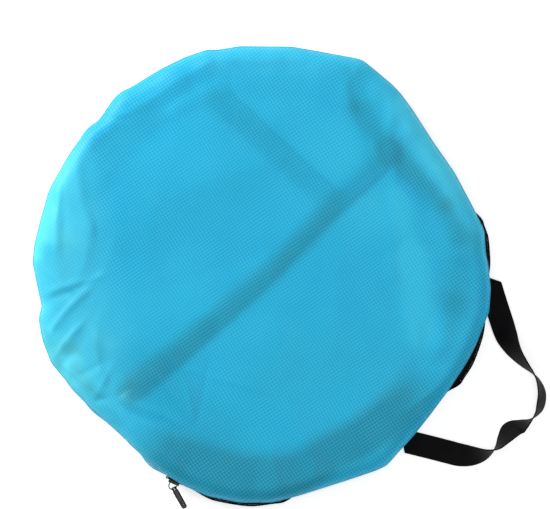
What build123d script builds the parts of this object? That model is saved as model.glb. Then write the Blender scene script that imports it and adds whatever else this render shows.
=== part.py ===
"""A pop-up tent folded flat in its round, zipped carrying bag.

The bag lies on its bottom panel. The origin is the middle of the bottom panel's
underside, +Z is up through the bag's thickness, and +X points to the carrying strap.
Inside, four spring-steel hoops are each folded into three turns in their binding
sleeves, and the cloth is folded flat within the turns, with an elastic band round it all.
"""

from build123d import *

import os
from math import cos, degrees, radians, sin, tan

# ---- driving dimensions, in millimetres and degrees ----
bag_radius = 240.0
cloth = 0.8  # coated ripstop with its binding
wall_inner = 239.0
wall_top = 22.0
panel_underside = 34.0
panel_flat_radius = 226.0
flap_line = 22.0  # x of the line along which the front panel folds back
flap_slot = 0.3  # clearance each side of that line

tape_thickness = 0.6
tape_low = (0.9, 12.0)
tape_high = (14.0, 21.8)
coil_inner = 239.65
coil_outer = 241.7
coil_low = (9.9, 12.2)
coil_high = (13.8, 16.1)
zip_middle = 13.0
zip_end = 89.8  # half of the angle that the zip takes round the rim
flap_end = 84.5  # half of the angle that the moving tape takes
fixed_start = 85.1

slider_angle = -87.3
slider_length = 12.0
slider_heights = (8.3, 17.7)
slider_plate = (242.1, 243.3)
slider_inner_plate = (236.9, 238.3)
bail_arch = 4.0
bail_wire = 1.2
bail_centre_radius = 245.8
pull_lean = 53.3  # the pull's direction, from straight out of the slider
pull_roll = 45.0  # its roll about its own length
pull_length = 26.0
pull_width = 7.8
pull_thickness = 1.8

webbing_width = 25.0
webbing_thickness = 1.6
strap_low = 0.9  # underside of the webbing where it leaves the seam
strap_line = 248.0  # x of the line where the strap hinges up
strap_slot = 0.3

hoop_wire = 3.0
strand_offset = 3.6  # from the middle of a folded hoop's bundle to each turn
sleeve_outer = 7.2
sleeve_inner = 6.4
bundle_outer_radius, bundle_inner_radius = 221.6, 206.8
bundle_low, bundle_high = 9.9, 24.6
hoop_turns, hoop_corners = 3, 12
ferrule_length, ferrule_outer, ferrule_bore = 22.0, 2.4, 1.75

layer_radius = 198.5
band_angle = 68.1
band_width = 18.0
band_thickness = 1.2

os.makedirs("parts", exist_ok=True)


def wall_plane(angle):
    """The upright plane through Z at an angle: local x is the radius, local y is height."""
    a = radians(angle)
    return Plane(origin=(0, 0, 0), x_dir=(cos(a), sin(a), 0), z_dir=(sin(a), -cos(a), 0))


def arc_block(radii, heights, start, end, mode=Mode.ADD):
    """Adds a rectangle swept round Z, from one angle to another, to the open part."""
    with BuildSketch(wall_plane(start)) as profile:
        with Locations(((radii[0] + radii[1]) / 2, (heights[0] + heights[1]) / 2)):
            Rectangle(radii[1] - radii[0], heights[1] - heights[0])
    revolve(profile.sketch, axis=Axis.Z, revolution_arc=end - start, mode=mode)


def save(part, name):
    part.label = name
    export_step(part, f"parts/{name}.step")


# ---- bag: bottom panel, gusset wall, front panel in two halves ----
tape_radii = (wall_inner, wall_inner + tape_thickness)
wall_radii = (wall_inner, wall_inner + cloth)

with BuildPart() as bottom_panel:
    with BuildSketch():
        Circle(tape_radii[1])
    extrude(amount=cloth)
save(bottom_panel.part, "bottom_panel")

with BuildPart() as wall_panel:
    arc_block(wall_radii, (tape_low[0], wall_top), zip_end, 360 - zip_end)
save(wall_panel.part, "wall_panel")


def front_panel_shell():
    """The whole front panel: flat over the tent, then sloping down to the rim seam."""
    panel_top = panel_underside + cloth
    with BuildSketch(wall_plane(0)) as profile:
        with BuildLine():
            Polyline(
                (0, panel_underside),
                (panel_flat_radius, panel_underside),
                (wall_radii[0], wall_top),
                (wall_radii[1], wall_top),
                (wall_radii[1], wall_top + cloth),
                (panel_flat_radius + 0.5, panel_top),
                (0, panel_top),
                close=True,
            )
        make_face()
    revolve(profile.sketch, axis=Axis.Z)


with BuildPart() as top_panel_rear:
    front_panel_shell()
    split(bisect_by=Plane(origin=(flap_line - flap_slot, 0, 0), z_dir=(-1, 0, 0)))
save(top_panel_rear.part, "top_panel_rear")

with BuildPart() as top_panel_flap:
    front_panel_shell()
    split(bisect_by=Plane(origin=(flap_line + flap_slot, 0, 0), z_dir=(1, 0, 0)))
save(top_panel_flap.part, "top_panel_flap")

# ---- carrying strap: two sewn ends and a free loop of one length of webbing ----
strap_heights = (strap_low, strap_low + webbing_thickness)
near_line = strap_line - strap_slot
upper_end_outline = [
    (203.0, 103.5),
    (213.5, 109.9),
    (223.8, 109.0),
    (near_line, 83.6),
    (near_line, 51.6),
    (232.5, 63.0),
    (220.0, 59.8),
]
lower_end_outline = [
    (212.5, -79.8),
    (near_line, -72.0),
    (near_line, -97.6),
    (201.5, -107.8),
]
strap_slots = [(13.8, 28.3), (-27.3, -17.3)]  # angles where the ends pass the rim seam

for end_name, outline in (
    ("strap_end_upper", upper_end_outline),
    ("strap_end_lower", lower_end_outline),
):
    with BuildPart() as strap_end:
        with BuildSketch(Plane.XY.offset(strap_low)):
            Polygon(*outline, align=None)
        extrude(amount=webbing_thickness)
    save(strap_end.part, end_name)

# Stations of the free loop: x, y and the webbing's tilt. It lies flat at 0 and 180
# and stands on its edge at 90.
strap_stations = [
    (260.5, 57.5, 24),
    (269.5, 51.0, 42),
    (279.0, 45.0, 58),
    (291.5, 38.8, 74),
    (302.0, 33.4, 90),
    (310.6, 27.2, 103),
    (318.6, 18.4, 114),
    (323.6, 8.0, 118),
    (324.6, -2.2, 106),
    (321.6, -12.0, 90),
    (315.6, -22.5, 68),
    (308.6, -33.5, 50),
    (303.6, -45.0, 60),
    (300.2, -56.0, 90),
    (293.6, -66.6, 121),
    (284.6, -74.2, 145),
    (272.0, -79.6, 170),
    (260.0, -82.4, 180),
]


def webbing_section(index):
    """The plane of the webbing's cross-section at a station, its lower edge near the ground."""
    x, y, tilt = strap_stations[index]
    before = strap_stations[index - 1] if index > 0 else (strap_line, 67.6, 0)
    after = strap_stations[index + 1] if index + 1 < len(strap_stations) else (strap_line, -84.8, 0)
    along = Vector(after[0] - before[0], after[1] - before[1], 0).normalized()
    t = radians(tilt)
    across = Vector(-along.Y, along.X, 0) * cos(t) + Vector(0, 0, 1) * sin(t)
    height = webbing_width / 2 * sin(t) + webbing_thickness / 2 * abs(cos(t)) + 0.3
    return Plane(origin=(x, y, height), x_dir=across, z_dir=along)


far_line = strap_line + strap_slot
strap_mid_height = (strap_heights[0] + strap_heights[1]) / 2
with BuildPart() as strap_loop:
    with BuildSketch(Plane(origin=(far_line, 67.6, strap_mid_height), x_dir=(0, 1, 0), z_dir=(1, 0, 0))):
        Rectangle(32.0, webbing_thickness)
    for i in range(len(strap_stations)):
        with BuildSketch(webbing_section(i)):
            Rectangle(webbing_width, webbing_thickness)
    with BuildSketch(Plane(origin=(far_line, -84.8, strap_mid_height), x_dir=(0, 1, 0), z_dir=(-1, 0, 0))):
        Rectangle(25.6, webbing_thickness)
    loft(ruled=True)
save(strap_loop.part, "strap_loop")

# ---- seam bindings, inside the bag ----
binding_radii = (232.0, 238.7)
top_binding_heights = (20.5, 21.8)

with BuildPart() as bottom_seam_binding:
    arc_block(binding_radii, (2.7, 3.9), 0, 360)
save(bottom_seam_binding.part, "bottom_seam_binding")

with BuildPart() as top_seam_binding_rear:
    arc_block(binding_radii, top_binding_heights, fixed_start, 360 - fixed_start)
save(top_seam_binding_rear.part, "top_seam_binding_rear")

with BuildPart() as top_seam_binding_flap:
    arc_block(binding_radii, top_binding_heights, -flap_end, flap_end)
save(top_seam_binding_flap.part, "top_seam_binding_flap")

# ---- zip: tapes, coils and end stops ----
coil_radii = (coil_inner, coil_outer)
coil_end = zip_end - 0.6

with BuildPart() as zip_tape_lower:
    arc_block(tape_radii, tape_low, -zip_end, zip_end)
    for start, end in strap_slots:
        arc_block((238.0, 241.0), (0.8, 2.65), start, end, Mode.SUBTRACT)
save(zip_tape_lower.part, "zip_tape_lower")

with BuildPart() as zip_tape_upper:
    arc_block(tape_radii, tape_high, -flap_end, flap_end)
save(zip_tape_upper.part, "zip_tape_upper")

with BuildPart() as zip_tape_upper_ends:
    arc_block(tape_radii, tape_high, fixed_start, zip_end)
    arc_block(tape_radii, tape_high, -zip_end, -fixed_start)
save(zip_tape_upper_ends.part, "zip_tape_upper_ends")

with BuildPart() as zip_coil_lower:
    arc_block(coil_radii, coil_low, -coil_end, coil_end)
save(zip_coil_lower.part, "zip_coil_lower")

with BuildPart() as zip_coil_upper:
    arc_block(coil_radii, coil_high, -flap_end, flap_end)
save(zip_coil_upper.part, "zip_coil_upper")

with BuildPart() as zip_coil_upper_ends:
    arc_block(coil_radii, coil_high, fixed_start, coil_end)
    arc_block(coil_radii, coil_high, -coil_end, -fixed_start)
save(zip_coil_upper_ends.part, "zip_coil_upper_ends")

with BuildPart() as zip_end_stops:
    for start in (coil_end + 0.1, -coil_end - 0.5):
        arc_block((tape_radii[1], 241.3), (10.4, 15.6), start, start + 0.4)
save(zip_end_stops.part, "zip_end_stops")

# ---- slider, its bail and the pull ----
slider_half = degrees(slider_length / 2 / bag_radius)
slider_span = (slider_angle - slider_half, slider_angle + slider_half)
flange_radii = (240.0, slider_plate[0])
post_width = 2.0
with BuildPart() as slider_body:
    arc_block(slider_plate, slider_heights, *slider_span)
    arc_block(flange_radii, (slider_heights[0], slider_heights[0] + 1.2), *slider_span)
    arc_block(flange_radii, (slider_heights[1] - 1.2, slider_heights[1]), *slider_span)
    arc_block(slider_inner_plate, slider_heights, *slider_span)
    arc_block(
        (slider_inner_plate[1], slider_plate[0]),
        (zip_middle - 0.5, zip_middle + 0.5),
        slider_span[0],
        slider_span[0] + degrees(post_width / bag_radius),
    )
save(slider_body.part, "slider_body")

turn = radians(slider_angle)
outward = Vector(cos(turn), sin(turn), 0)
bail_centre = outward * bail_centre_radius + Vector(0, 0, zip_middle)
bail_foot = bail_centre_radius - slider_plate[1]
with BuildPart() as slider_bail:
    with BuildLine(Plane(origin=bail_centre, x_dir=outward, z_dir=(0, 0, 1))) as bail_path:
        Line((-bail_foot, -bail_arch), (0, -bail_arch))
        ThreePointArc((0, -bail_arch), (bail_arch, 0), (0, bail_arch))
        Line((0, bail_arch), (-bail_foot, bail_arch))
    with BuildSketch(Plane(origin=bail_path.wire() @ 0, z_dir=bail_path.wire() % 0)):
        Circle(bail_wire / 2)
    sweep(path=bail_path.wire())
save(slider_bail.part, "slider_bail")

pull_turn = radians(slider_angle + pull_lean)
pull_along = Vector(cos(pull_turn), sin(pull_turn), 0)
pull_level = Vector(-sin(pull_turn), cos(pull_turn), 0)
roll = radians(pull_roll)
pull_normal = Vector(0, 0, 1) * cos(roll) - pull_level * sin(roll)
pull_plane = Plane(origin=bail_centre, x_dir=pull_along, z_dir=pull_normal)
pull_start = 1.55  # distance from the middle of the bail's arch to the pull's head
pull_tip = pull_start + pull_length
head_half, neck_end, shoulder_end = 3.0, 5.4, 6.6
with BuildPart() as pull_tab:
    with BuildSketch(pull_plane.offset(-pull_thickness / 2)):
        with BuildLine():
            Polyline(
                (pull_start, -head_half),
                (neck_end, -head_half),
                (shoulder_end, -pull_width / 2),
                (pull_tip, -pull_width / 2 + 0.4),
                (pull_tip, pull_width / 2 - 0.4),
                (shoulder_end, pull_width / 2),
                (neck_end, head_half),
                (pull_start, head_half),
                close=True,
            )
        make_face()
        with Locations((4.05, 0)):
            Rectangle(2.0, 4.2, mode=Mode.SUBTRACT)
        with Locations((pull_tip - 5.9, 0)):
            SlotOverall(6.3, 1.7, mode=Mode.SUBTRACT)
    extrude(amount=pull_thickness)
    tip_corners = pull_tab.edges().filter_by(Axis(bail_centre, pull_normal)).sort_by(
        Axis(bail_centre, pull_along)
    )[-2:]
    fillet(tip_corners, 2.8)
    with BuildSketch(pull_plane.offset(pull_thickness / 2)):
        with Locations(((shoulder_end + pull_tip - 1.7) / 2, 0)):
            RectangleRounded(pull_tip - 1.7 - shoulder_end, pull_width - 2.4, 2.2)
    extrude(amount=-0.4, mode=Mode.SUBTRACT)
save(pull_tab.part, "pull_tab")

# ---- hoops: each one wire, folded into three turns, its ends joined in a ferrule ----
bundles = {
    "front": (bundle_outer_radius, bundle_high),
    "rear": (bundle_inner_radius, bundle_high),
    "base_left": (bundle_outer_radius, bundle_low),
    "base_right": (bundle_inner_radius, bundle_low),
}
corner_step = 360 / hoop_corners
wire_gap = 0.6  # between the wire's two ends, inside the ferrule


def hoop_corner(index, radius, height):
    """A corner of the wire's route, which shifts evenly from turn to turn."""
    angle = radians(corner_step * index)
    shift = angle / hoop_turns
    r = (radius + strand_offset * cos(shift)) / cos(radians(corner_step / 2))
    return Vector(r * cos(angle), r * sin(angle), height + strand_offset * sin(shift))


def hoop_route(radius, height):
    """Corners from one end of the wire, three times round, to its other end."""
    count = hoop_turns * hoop_corners
    corners = [hoop_corner(k, radius, height) for k in range(count)]
    run = corners[0] - corners[-1]
    middle = (corners[0] + corners[-1]) * 0.5
    step = run.normalized() * (wire_gap / 2)
    return [middle + step, *corners, middle - step]


def bend_radii(route):
    """The largest bend that fits at each corner, with the runs at the ends taken as whole."""
    radii = []
    full_run = (route[2] - route[1]).length
    for k in range(1, len(route) - 1):
        into = route[k] - route[k - 1]
        out = route[k + 1] - route[k]
        radii.append(0.45 * full_run / tan(radians(into.get_angle(out)) / 2))
    return radii


for bundle_name, (radius, height) in bundles.items():
    route = hoop_route(radius, height)
    with BuildPart() as hoop:
        with BuildLine() as hoop_path:
            FilletPolyline(*route, radius=bend_radii(route))
        with BuildSketch(Plane(origin=hoop_path.wire() @ 0, z_dir=hoop_path.wire() % 0)):
            Circle(hoop_wire / 2)
        sweep(path=hoop_path.wire())
    save(hoop.part, f"hoop_{bundle_name}")

    with BuildPart() as sleeve:
        with BuildSketch(wall_plane(0)):
            with Locations((radius, height)):
                Circle(sleeve_outer)
                Circle(sleeve_inner, mode=Mode.SUBTRACT)
            with Locations((radius - sleeve_inner, height)):
                Rectangle(3.0, 1.0, mode=Mode.SUBTRACT)
        revolve(axis=Axis.Z)
    save(sleeve.part, f"sleeve_{bundle_name}")

with BuildPart() as hoop_ferrules:
    for radius, height in bundles.values():
        route = hoop_route(radius, height)
        joint = (route[0] + route[-1]) * 0.5
        along = (route[1] - route[0]).normalized()
        with BuildSketch(Plane(origin=joint - along * (ferrule_length / 2), z_dir=along)):
            Circle(ferrule_outer)
            Circle(ferrule_bore, mode=Mode.SUBTRACT)
        extrude(amount=ferrule_length)
save(hoop_ferrules.part, "hoop_ferrules")

# ---- tent cloth folded flat within the turns ----
layers = {
    "floor_panel_folded": (2.7, 8.2),
    "rear_wall_folded": (8.5, 14.0),
    "side_wall_folded": (14.3, 23.5),
    "mesh_window_folded": (23.8, 27.3),
    "canopy_front_folded": (27.6, 31.5),
}
pouch_length, pouch_width, pouch_height, pouch_low = 190.0, 50.0, 8.6, 14.6
for layer_name, (low, high) in layers.items():
    with BuildPart() as layer:
        with BuildSketch(Plane.XY.offset(low)):
            Circle(layer_radius)
            if layer_name == "side_wall_folded":
                Rectangle(pouch_length + 4, pouch_width + 4, mode=Mode.SUBTRACT)
        extrude(amount=high - low)
    save(layer.part, layer_name)

# ---- pegs in their pouch ----
with BuildPart() as peg_pouch:
    with BuildSketch(Plane.XY.offset(pouch_low)):
        RectangleRounded(pouch_length, pouch_width, 8)
    extrude(amount=pouch_height)
    with BuildSketch(Plane.XY.offset(pouch_low + cloth)):
        RectangleRounded(pouch_length - 2 * cloth, pouch_width - 2 * cloth, 7.2)
    extrude(amount=pouch_height - 2 * cloth, mode=Mode.SUBTRACT)
save(peg_pouch.part, "peg_pouch")

peg_wire, peg_length, peg_count, peg_pitch, peg_hook = 3.5, 165.0, 6, 7.2, 2.6
peg_height = pouch_low + pouch_height / 2
with BuildPart() as tent_pegs:
    for k in range(peg_count):
        row = (k - (peg_count - 1) / 2) * peg_pitch
        with BuildLine(Plane.XY.offset(peg_height)) as peg_path:
            Line((-peg_length / 2, row), (peg_length / 2 - 6, row))
            ThreePointArc(
                (peg_length / 2 - 6, row),
                (peg_length / 2 - 6 + peg_hook * sin(radians(45)), row + peg_hook * (1 - cos(radians(45)))),
                (peg_length / 2 - 6 + peg_hook, row + peg_hook),
            )
        with BuildSketch(Plane(origin=peg_path.wire() @ 0, z_dir=peg_path.wire() % 0)):
            Circle(peg_wire / 2)
        sweep(path=peg_path.wire())
save(tent_pegs.part, "tent_pegs")

# ---- elastic band round the folded tent, and two binding strips on top of it ----
band_round = sleeve_outer + 0.5
band_reach = bundle_outer_radius + band_round
band_low = bundle_low - band_round
band_high = bundle_high + band_round
with BuildPart() as retaining_band:
    with BuildSketch(wall_plane(band_angle).offset(-band_width / 2)):
        with Locations((0, (band_low + band_high) / 2)):
            RectangleRounded(
                2 * (band_reach + band_thickness),
                band_high - band_low + 2 * band_thickness,
                band_round + band_thickness,
            )
            RectangleRounded(2 * band_reach, band_high - band_low, band_round, mode=Mode.SUBTRACT)
    extrude(amount=band_width)
save(retaining_band.part, "retaining_band")

strip_heights = (31.6, 32.0)
wide_strip = [(-132, 134), (-124, 159), (29, 115), (21, 90)]
narrow_strip = [(8, 190), (12, 202), (40, 196), (73, 177), (131, 157), (127, 143), (65, 164), (33, 183)]
for strip_name, outline in (
    ("binding_strip_wide", wide_strip),
    ("binding_strip_narrow", narrow_strip),
):
    with BuildPart() as strip:
        with BuildSketch(Plane.XY.offset(strip_heights[0])):
            Polygon(*outline, align=None)
        extrude(amount=strip_heights[1] - strip_heights[0])
    save(strip.part, strip_name)
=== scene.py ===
"""Looks for a pop-up tent folded flat in its round, sheer, zipped carrying bag.

Lengths are in metres unless a name says otherwise. Angles round the bag are in
degrees from +X, the carrying strap's side.
"""

from functools import cache
from math import atan2, cos, degrees, exp, hypot, pi, radians, sin, tanh

import bpy
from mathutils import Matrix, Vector, noise


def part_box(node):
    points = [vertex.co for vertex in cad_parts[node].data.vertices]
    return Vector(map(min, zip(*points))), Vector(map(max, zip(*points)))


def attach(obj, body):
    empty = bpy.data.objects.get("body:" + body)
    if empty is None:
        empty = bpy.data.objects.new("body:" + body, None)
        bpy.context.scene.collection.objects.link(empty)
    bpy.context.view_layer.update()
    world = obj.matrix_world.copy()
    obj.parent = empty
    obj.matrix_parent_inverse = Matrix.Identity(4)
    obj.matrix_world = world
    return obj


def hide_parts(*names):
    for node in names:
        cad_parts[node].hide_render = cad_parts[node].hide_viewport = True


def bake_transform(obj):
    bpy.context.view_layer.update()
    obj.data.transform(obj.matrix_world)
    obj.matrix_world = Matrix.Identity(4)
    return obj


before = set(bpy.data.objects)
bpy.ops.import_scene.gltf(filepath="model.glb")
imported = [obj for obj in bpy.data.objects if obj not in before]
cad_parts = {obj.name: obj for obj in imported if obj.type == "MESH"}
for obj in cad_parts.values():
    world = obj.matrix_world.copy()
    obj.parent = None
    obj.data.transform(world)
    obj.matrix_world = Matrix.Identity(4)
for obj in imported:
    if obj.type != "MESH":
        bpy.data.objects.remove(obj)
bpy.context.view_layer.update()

MM = 0.001
tape_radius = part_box("zip_tape_lower")[1].x - 0.3 * MM
coil_radius = (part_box("zip_coil_lower")[1].x + tape_radius) / 2
floor_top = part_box("bottom_panel")[1].z
seam_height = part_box("wall_panel")[1].z + 0.4 * MM
crown_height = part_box("top_panel_rear")[1].z + 0.8 * MM
fold_line = 22 * MM  # how far from the middle the flap folds back
webbing_width = 25 * MM

# Either side of +X, in degrees: the zip's end, the end of the flap's half of it, and
# the start of the short upper pieces that stay with the bag.
zip_end, flap_end, fixed_start = 89.8, 84.5, 85.1


# ---------------------------------------------------------------- shader maths
class Value:
    """A shader value, written in expressions like a number."""

    def __init__(self, tree, socket):
        self.tree, self.socket = tree, socket

    def math(self, operation, *others):
        node = self.tree.nodes.new("ShaderNodeMath")
        node.operation = operation
        for slot, other in zip(node.inputs, (self, *others)):
            connect(self.tree, other, slot)
        return Value(self.tree, node.outputs[0])

    def __add__(self, other):
        return self.math("ADD", other)

    def __sub__(self, other):
        return self.math("SUBTRACT", other)

    def __rsub__(self, other):
        return (self * -1) + other

    def __mul__(self, other):
        return self.math("MULTIPLY", other)

    def __truediv__(self, other):
        return self.math("DIVIDE", other)

    def __abs__(self):
        return self.math("ABSOLUTE")

    __radd__ = __add__
    __rmul__ = __mul__

    def high(self, other):
        return self.math("MAXIMUM", other)

    def low(self, other):
        return self.math("MINIMUM", other)

    def to_line(self, pitch):
        """The distance to the nearest of many lines, one each pitch."""
        return self.math("PINGPONG", pitch / 2)

    def fade(self, start, end):
        """A smooth 0 to 1 from start to end; the two may be given high to low."""
        node = self.tree.nodes.new("ShaderNodeMapRange")
        node.interpolation_type = "SMOOTHSTEP"
        connect(self.tree, self, node.inputs["Value"])
        flip = start > end
        node.inputs["From Min"].default_value = min(start, end)
        node.inputs["From Max"].default_value = max(start, end)
        node.inputs["To Min"].default_value = 1.0 if flip else 0.0
        node.inputs["To Max"].default_value = 0.0 if flip else 1.0
        return Value(self.tree, node.outputs["Result"])


def connect(tree, value, slot):
    if isinstance(value, Value):
        tree.links.new(value.socket, slot)
    else:
        slot.default_value = value


class Finish:
    """One material, its shader and the nodes that feed it."""

    def __init__(self, name, roughness=0.6, **fixed):
        self.material = bpy.data.materials.new(name)
        self.material.use_nodes = True
        self.tree = self.material.node_tree
        self.shader = self.tree.nodes["Principled BSDF"]
        self.set("Roughness", roughness)
        for socket, value in fixed.items():
            self.set(socket.replace("_", " "), value)

    def set(self, socket, value):
        connect(self.tree, value, self.shader.inputs[socket])

    def node(self, kind, settings=None, output=0, **inputs):
        made = self.tree.nodes.new(kind)
        for key, value in (settings or {}).items():
            setattr(made, key, value)
        for socket, value in inputs.items():
            connect(self.tree, value, made.inputs[socket.replace("_", " ")])
        return Value(self.tree, made.outputs[output])

    def place(self, source="Object"):
        return self.node("ShaderNodeTexCoord", output=source)

    def axes(self, vector):
        split = self.node("ShaderNodeSeparateXYZ", Vector=vector).socket.node
        return [Value(self.tree, split.outputs[k]) for k in range(3)]

    def mottle(self, vector, scale, detail=2.0):
        return self.node("ShaderNodeTexNoise", Vector=vector, Scale=scale, Detail=detail)

    def mix(self, factor, first, second):
        made = self.tree.nodes.new("ShaderNodeMix")
        made.data_type = "RGBA"
        connect(self.tree, factor, made.inputs[0])
        connect(self.tree, colour(first), made.inputs[6])
        connect(self.tree, colour(second), made.inputs[7])
        return Value(self.tree, made.outputs[2])

    def bump(self, height, distance, strength=1.0):
        self.set("Normal", self.node("ShaderNodeBump", Height=height, Distance=distance, Strength=strength))


def colour(value):
    return value if isinstance(value, Value) else (*value, 1.0)[:4]


# ---------------------------------------------------------------- colours and finishes
cyan = (0.006, 0.51, 0.80)
cyan_deep = (0.004, 0.34, 0.66)
black_cloth = (0.006, 0.006, 0.007)
grid_turns = (59.5, 149.5)  # the two sets of ripstop threads, in degrees from +X
grid_pitch = 3.3 * MM


def along(finish, vector, angle):
    """How far a place lies along a level direction."""
    x, y, _ = finish.axes(vector)
    return x * cos(radians(angle)) + y * sin(radians(angle))


def painted_rim_light(finish):
    """Painted light: how much paler the cloth is made towards the bag's edge, where light comes through the
    slack cloth.
    """
    where = finish.place()
    low_left = along(finish, where, -142).fade(135 * MM, 214 * MM)
    upper_right = along(finish, where, 58).fade(185 * MM, 235 * MM)
    top = along(finish, where, 115).fade(200 * MM, 245 * MM)
    patchy = finish.mottle(where, 16, 3.0).fade(0.38, 0.60) * 0.45 + 0.55
    return low_left.high(upper_right * 0.85).high(top * 0.4) * patchy


def ripstop(name, cloth, thread, cover, source):
    """Coated cloth with a raised grid of thicker threads. cover is its share of opacity."""
    finish = Finish(name, 0.5, Specular_IOR_Level=0.42)
    where = finish.place(source)
    sets = []
    for turn, scale in zip(grid_turns, (23, 31)):
        line = along(finish, where, turn).to_line(grid_pitch).fade(0.36 * MM, 0.10 * MM)
        sets.append(line * (finish.mottle(where, scale, 3.0).fade(0.34, 0.62) * 0.3 + 0.7))
    threads = sets[0].high(sets[1])
    soft = finish.mottle(where, 9, 2.0)
    body = finish.mix(soft.fade(0.35, 0.68), cloth, tuple(0.94 * c for c in cloth))
    # Painted light: towards the bag's edge the cloth is mixed towards a paler cyan.
    lit = painted_rim_light(finish)
    body = finish.mix(lit, body, (0.16, 0.82, 0.95))
    finish.set("Base Color", finish.mix(threads * 0.9, body, thread))
    finish.set("Alpha", threads * ((1 - cover) * 0.45) + (soft - 0.5) * 0.06 + cover)
    finish.set("Roughness", finish.mottle(where, 60, 3.0) * 0.2 + 0.38)
    creases = finish.mottle(where, 24, 2.5) * (lit * 1.5 + 0.15)
    finish.bump(threads * 0.03 + creases, 1.0 * MM)
    return finish.material


def plain_weave(name, tint, pitch, source="UV", light=(0.02, 0.02, 0.022), roughness=0.8):
    """Opaque woven cloth, its threads going over and under one another."""
    finish = Finish(name, roughness, Specular_IOR_Level=0.08)
    where = finish.place(source)
    x, y, _ = finish.axes(where)
    over = x.to_line(pitch) / (pitch / 2)
    under = y.to_line(pitch) / (pitch / 2)
    threads = (over * (1 - under)).high(under * (1 - over))
    worn = finish.mottle(where, 40, 3.0)
    finish.set("Base Color", finish.mix(threads * worn, tint, light))
    finish.set("Roughness", worn * 0.2 + (roughness - 0.1))
    finish.bump(threads, pitch * 0.2, 0.7)
    return finish.material


def webbing_finish():
    """Black polypropylene webbing: rows of slanting yarns and a plain edge."""
    finish = Finish("black_webbing", 0.6, Specular_IOR_Level=0.06)
    where = finish.place("UV")
    x, y, _ = finish.axes(where)
    column = x.to_line(3.2 * MM) / (1.6 * MM)
    slant = (y + abs(x - webbing_width / 2) * 0.7).to_line(1.5 * MM) / (0.75 * MM)
    threads = (column * 0.4 + slant * 0.7).low(1.0)
    worn = finish.mottle(where, 60, 4.0)
    edge = abs(x - webbing_width / 2).fade(11.2 * MM, 12.2 * MM)
    tint = finish.mix(threads * worn, (0.002, 0.002, 0.0025), (0.011, 0.011, 0.012))
    finish.set("Base Color", finish.mix(edge * 0.5, tint, (0.007, 0.007, 0.008)))
    finish.set("Roughness", worn * 0.25 + 0.45)
    finish.bump(threads * (1 - edge * 0.5), 0.3 * MM, 0.8)
    return finish.material


def enamel():
    """Black enamel on die-cast zinc, rubbed a little bare."""
    finish = Finish("black_enamel", 0.3, Coat_Weight=0.2, Coat_Roughness=0.25, Specular_IOR_Level=0.4)
    where = finish.place()
    worn = finish.mottle(where, 900, 4.0).fade(0.62, 0.78)
    finish.set("Base Color", finish.mix(worn * 0.35, (0.010, 0.010, 0.011), (0.06, 0.06, 0.062)))
    finish.set("Metallic", worn * 0.4 + 0.3)
    finish.set("Roughness", worn * 0.2 + 0.3)
    finish.bump(finish.mottle(where, 1500, 2.0), 0.03 * MM, 0.4)
    return finish.material


def wire_finish(name, tint, roughness=0.32):
    """Drawn wire, with fine marks along it."""
    finish = Finish(name, roughness, Metallic=1.0)
    where = finish.place()
    marks = finish.mottle(where, 700, 4.0)
    finish.set("Base Color", finish.mix(marks, tint, tuple(0.7 * c for c in tint)))
    finish.set("Roughness", marks * 0.25 + (roughness - 0.1))
    finish.bump(marks, 0.02 * MM, 0.3)
    return finish.material


def coil_finish():
    """Black nylon, a little uneven."""
    finish = Finish("black_nylon_coil", 0.5, Specular_IOR_Level=0.12)
    where = finish.place()
    spots = finish.mottle(where, 500, 3.0)
    finish.set("Base Color", finish.mix(spots, (0.005, 0.005, 0.006), (0.012, 0.012, 0.013)))
    finish.bump(spots, 0.02 * MM, 0.3)
    return finish.material


# Painted shade where bindings, bands and folds lie in the pack under the cloth: from, to,
# half width in mm, and depth. A negative depth is painted light, where the cloth is a single ply.
painted_light_and_shade = [
    ((-75, -174), (-30, -76), 9.5, 0.95),  # the elastic band
    ((-22, -56), (8, 20), 9.5, 0.72),
    ((15, 38), (58, 178), 9.5, 0.72),
    ((-128, 144), (22, 108), 11, 0.34),  # the wide strip
    ((-11, 231), (6, 207), 9, 0.40),
    ((12, 200), (60, 175), 10, 0.62),  # the narrow strip
    ((66, 173), (135, 155), 10, 0.62),
    ((146, 149), (166, 134), 11, 0.50),
    ((172, 122), (192, 66), 13, 0.42),
    ((192, 60), (196, 12), 12, 0.36),
    ((-60, -150), (30, -172), 20, 0.22),
    ((88, 140), (126, 88), 9, -0.60),
    ((132, 80), (178, 18), 14, -1.00),
    ((96, 190), (170, 152), 9, -0.60),
    ((0, 150), (70, 112), 24, -0.40),
    ((-110, -90), (-80, -40), 28, -0.35),
    ((60, -100), (110, -50), 30, 0.10),
    ((-162, -164), (-142, -160), 5, 0.35),  # painted shade in creases by the lower left rim
    ((-182, -160), (-152, -185), 4, 0.35),
    ((-136, -179), (-104, -194), 5, 0.35),
    ((-138, -105), (-118, -150), 8, 0.20),
    ((-205, -60), (-190, -95), 5, 0.25),
    ((-215, 40), (-180, 100), 9, 0.22),
    ((-150, -60), (-60, 60), 26, 0.10),
]


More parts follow.
